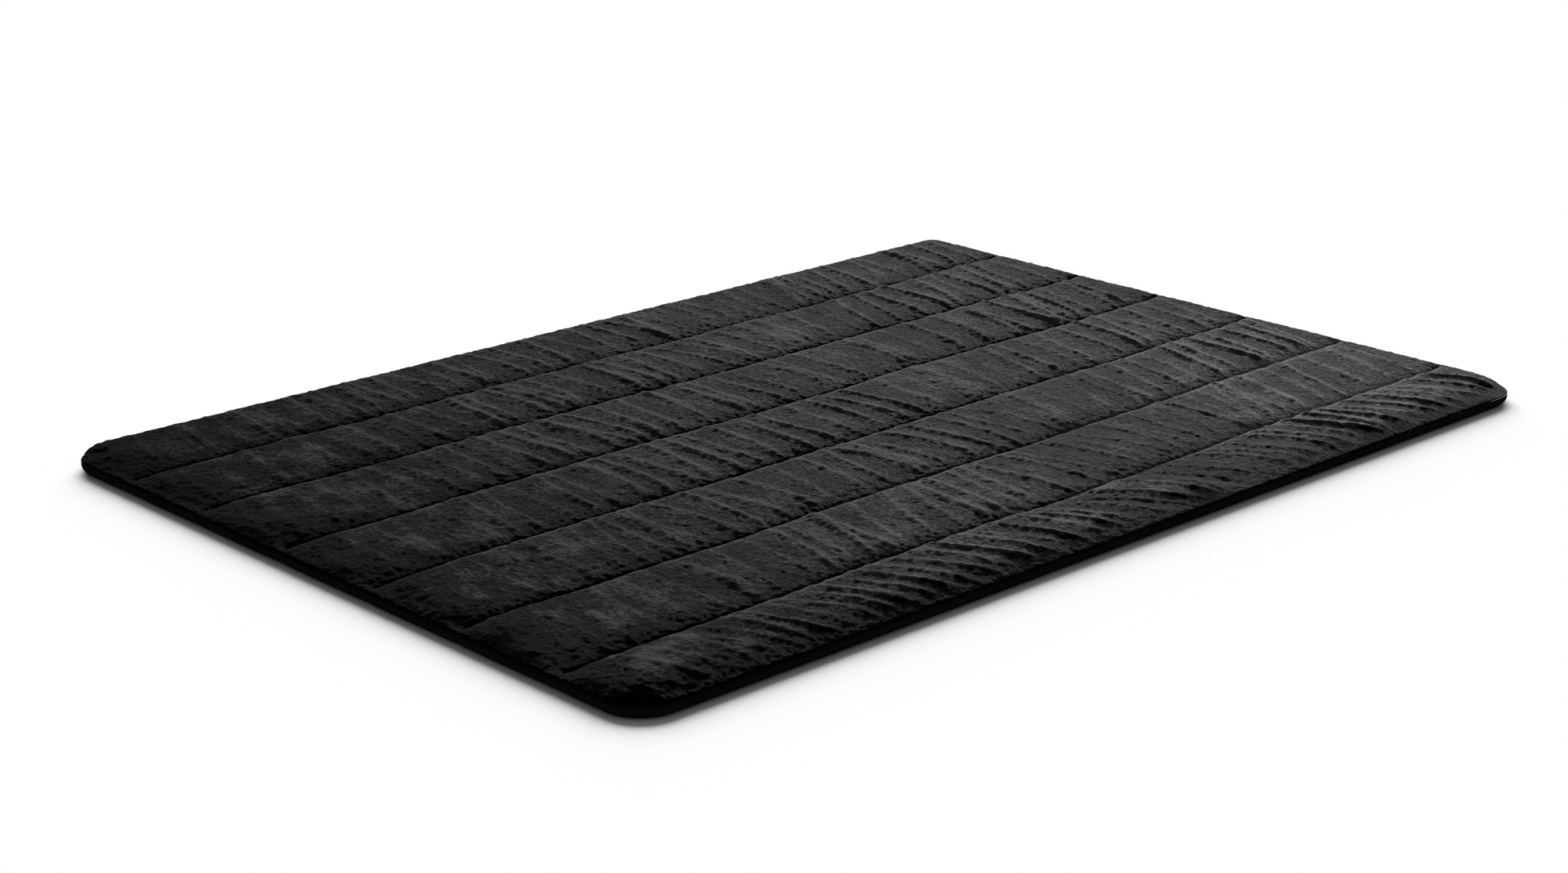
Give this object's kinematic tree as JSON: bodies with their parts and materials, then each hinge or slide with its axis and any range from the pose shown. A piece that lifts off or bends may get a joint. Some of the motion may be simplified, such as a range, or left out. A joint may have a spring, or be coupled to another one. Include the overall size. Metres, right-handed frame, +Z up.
{
  "type": "futon mattress",
  "caption": "Thin quilted futon mattress with a dark plush top, padded lengthwise channels that fold at their sewn seams, and a plain backing.",
  "frame": {"origin": "middle of the underside, on the surface that the mattress lies on", "axes": "+X along the length and the quilting seams, +Y across the channels towards channel 1, +Z up out of the plush side"},
  "size_m": [2, 1.4, 0.032],
  "materials": {
    "plush": "matte",
    "backing": "matte",
    "wadding": "matte",
    "foam": "matte",
    "thread": "satin"
  },
  "bodies": {
    "channel_1": {"plush_cover_1": "plush", "wadding_1": "wadding", "foam_core_1": "foam", "backing_1": "backing", "edge_thread_1": "thread"},
    "channel_2": {"plush_cover_2": "plush", "wadding_2": "wadding", "foam_core_2": "foam", "backing_2": "backing", "edge_thread_2": "thread", "quilting_thread_1": "thread"},
    "channel_3": {"plush_cover_3": "plush", "wadding_3": "wadding", "foam_core_3": "foam", "backing_3": "backing", "edge_thread_3": "thread", "quilting_thread_2": "thread"},
    "channel_4": {"plush_cover_4": "plush", "wadding_4": "wadding", "foam_core_4": "foam", "backing_4": "backing", "edge_thread_4": "thread", "quilting_thread_3": "thread", "quilting_thread_4": "thread"},
    "channel_5": {"plush_cover_5": "plush", "wadding_5": "wadding", "foam_core_5": "foam", "backing_5": "backing", "edge_thread_5": "thread", "quilting_thread_5": "thread"},
    "channel_6": {"plush_cover_6": "plush", "wadding_6": "wadding", "foam_core_6": "foam", "backing_6": "backing", "edge_thread_6": "thread", "quilting_thread_6": "thread"},
    "channel_7": {"plush_cover_7": "plush", "wadding_7": "wadding", "foam_core_7": "foam", "backing_7": "backing", "edge_thread_7": "thread"}
  },
  "joints": [
    {"name": "seam_1", "type": "hinge", "parent": "channel_2", "child": "channel_1", "pos_m": [0, 0.525, 0.019], "axis": [1, 0, 0], "range_deg": [-50, 50]},
    {"name": "seam_2", "type": "hinge", "parent": "channel_3", "child": "channel_2", "pos_m": [0, 0.315, 0.019], "axis": [1, 0, 0], "range_deg": [-50, 50]},
    {"name": "seam_3", "type": "hinge", "parent": "channel_4", "child": "channel_3", "pos_m": [0, 0.105, 0.019], "axis": [1, 0, 0], "range_deg": [-50, 50]},
    {"name": "seam_4", "type": "hinge", "parent": "channel_4", "child": "channel_5", "pos_m": [0, -0.105, 0.019], "axis": [-1, 0, 0], "range_deg": [-50, 50]},
    {"name": "seam_5", "type": "hinge", "parent": "channel_5", "child": "channel_6", "pos_m": [0, -0.315, 0.019], "axis": [-1, 0, 0], "range_deg": [-50, 50]},
    {"name": "seam_6", "type": "hinge", "parent": "channel_6", "child": "channel_7", "pos_m": [0, -0.525, 0.019], "axis": [-1, 0, 0], "range_deg": [-50, 50]}
  ]
}
